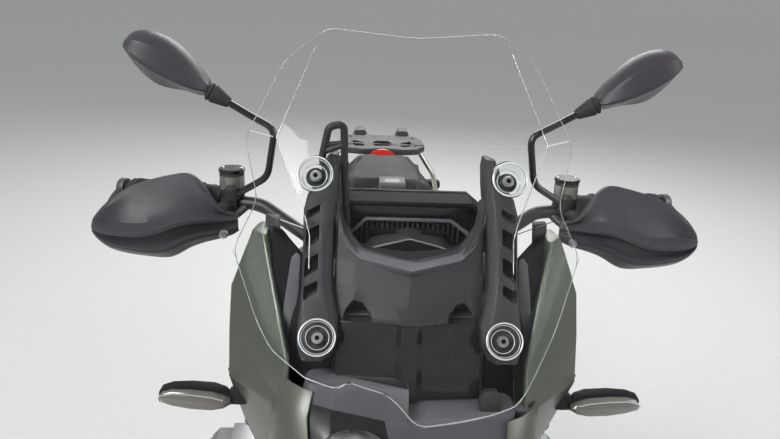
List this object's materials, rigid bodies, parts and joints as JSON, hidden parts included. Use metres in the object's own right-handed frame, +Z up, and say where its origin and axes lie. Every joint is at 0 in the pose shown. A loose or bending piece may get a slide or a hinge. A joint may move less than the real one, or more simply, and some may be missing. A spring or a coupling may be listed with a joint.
{
  "type": "adventure motorcycle",
  "caption": "Adventure motorcycle parked on its centre stand: tall clear screen on slotted arms, handguards, flat twin engine, shaft drive and luggage rack.",
  "frame": {"origin": "on the floor, under the middle of the overall length and width", "axes": "+X to the rider's left, +Y to the rear, +Z up"},
  "size_m": [0.988, 2.27, 1.446],
  "materials": {
    "tyre": "matte rubber",
    "wheel_metal": "satin",
    "disc_steel": "ground",
    "fork_metal": "satin",
    "black_metal": "satin",
    "caliper": "satin",
    "black_plastic": "matte",
    "bar_metal": "satin",
    "grip_rubber": "ribbed",
    "guard_plastic": "satin",
    "mirror_glass": "polished",
    "engine_metal": "cast, satin",
    "radiator_metal": "matte",
    "exhaust_steel": "satin",
    "plate_metal": "brushed",
    "graphite_paint": "matte metallic",
    "seat_cover": "grained vinyl",
    "boot_rubber": "matte",
    "spring_metal": "gloss",
    "dark_plastic": "matte",
    "lamp_glass": "clear",
    "screen_clear": "clear polycarbonate",
    "rack_black": "textured powder coat",
    "rail_metal": "satin",
    "lamp_red": "gloss",
    "indicator_lens": "smoked gloss"
  },
  "bodies": {
    "chassis": {"main_frame": "black_metal", "crankcase": "engine_metal", "cylinders": "engine_metal", "radiators": "radiator_metal", "exhaust_header": "exhaust_steel", "silencer": "exhaust_steel", "skid_plate": "plate_metal", "fuel_tank": "graphite_paint", "subframe": "black_metal", "rider_seat": "seat_cover", "pillion_seat": "seat_cover", "swingarm": "engine_metal", "shaft_boot": "boot_rubber", "shock": "spring_metal", "footrests": "plate_metal", "nose_cowl": "dark_plastic", "screen_arms": "dark_plastic", "headlight_mask": "graphite_paint", "headlight_lenses": "lamp_glass", "beak": "graphite_paint", "side_panels": "graphite_paint", "panel_fins": "dark_plastic", "display": "black_plastic", "display_shield": "dark_plastic", "screen_lever": "black_plastic", "windscreen": "screen_clear", "tail_cowl": "dark_plastic", "luggage_rack": "rack_black", "pannier_rails": "rail_metal", "tail_lamp": "lamp_red", "plate_hanger": "black_plastic", "indicators": "black_plastic", "indicator_lenses": "indicator_lens"},
    "steering": {"fork_legs": "fork_metal", "fork_yokes": "black_metal", "front_calipers": "caliper", "front_mudguard": "black_plastic", "handlebar": "bar_metal", "bar_controls": "grip_rubber", "handguards": "guard_plastic", "mirrors": "black_plastic", "mirror_glasses": "mirror_glass"},
    "front_wheel": {"front_tyre": "tyre", "front_rim": "wheel_metal", "front_discs": "disc_steel"},
    "rear_wheel": {"rear_tyre": "tyre", "rear_rim": "wheel_metal", "rear_disc": "disc_steel"},
    "centre_stand": {"centre_stand": "black_metal"},
    "side_stand": {"side_stand": "black_metal"},
    "fuel_cap": {"fuel_cap": "black_metal"}
  },
  "joints": [
    {"name": "steering_head", "type": "hinge", "parent": "chassis", "child": "steering", "pos_m": [0, -0.4715, 0.9], "axis": [0, 0.4384, 0.8988], "range_deg": [-35, 35]},
    {"name": "front_axle", "type": "hinge", "parent": "steering", "child": "front_wheel", "pos_m": [0, -0.8095, 0.3255], "axis": [1, 0, 0], "continuous": true},
    {"name": "rear_axle", "type": "hinge", "parent": "chassis", "child": "rear_wheel", "pos_m": [0, 0.7055, 0.336], "axis": [1, 0, 0], "continuous": true},
    {"name": "centre_stand_pivot", "type": "hinge", "parent": "chassis", "child": "centre_stand", "pos_m": [0, 0.12, 0.3], "axis": [1, 0, 0], "range_deg": [0, 100]},
    {"name": "side_stand_pivot", "type": "hinge", "parent": "chassis", "child": "side_stand", "pos_m": [0.17, 0.1, 0.285], "axis": [-0.8882, 0, -0.4594], "range_deg": [0, 101]},
    {"name": "fuel_cap_hinge", "type": "hinge", "parent": "chassis", "child": "fuel_cap", "pos_m": [0, -0.168, 1.0813], "axis": [1, 0, 0], "range_deg": [0, 90]}
  ]
}
